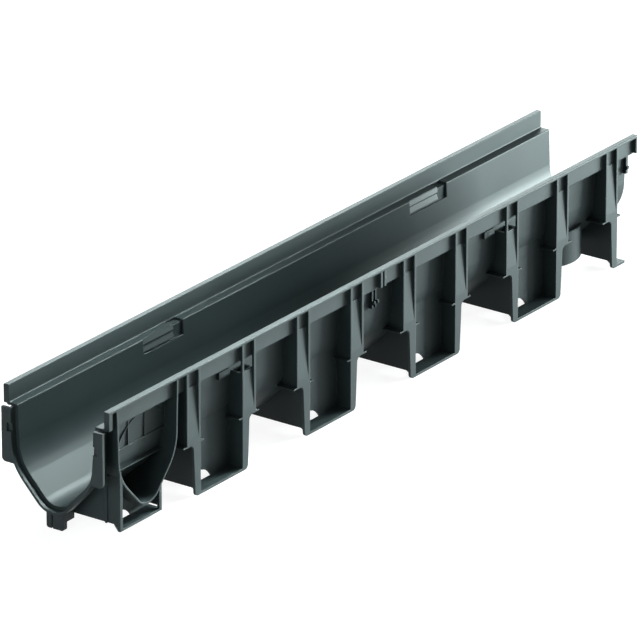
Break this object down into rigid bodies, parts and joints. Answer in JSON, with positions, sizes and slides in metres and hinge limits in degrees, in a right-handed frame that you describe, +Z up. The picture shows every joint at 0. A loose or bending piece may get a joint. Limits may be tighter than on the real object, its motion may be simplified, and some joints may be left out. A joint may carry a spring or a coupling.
{
  "type": "channel drain",
  "caption": "Moulded plastic linear drainage channel with a rounded V trough, grating ledges, ribbed walls, feet, side inlets and socket and spigot ends.",
  "frame": {"origin": "on the ground in the middle of the rail, under its bounding box's centre", "axes": "+X along the rail from the socket end to the spigot end, +Y across it, +Z up"},
  "size_m": [1.0084, 0.14, 0.1492],
  "materials": {
    "black_plastic": "black polypropylene with a fine satin grain"
  },
  "bodies": {
    "root": {"channel_body": "black_plastic"}
  },
  "joints": []
}
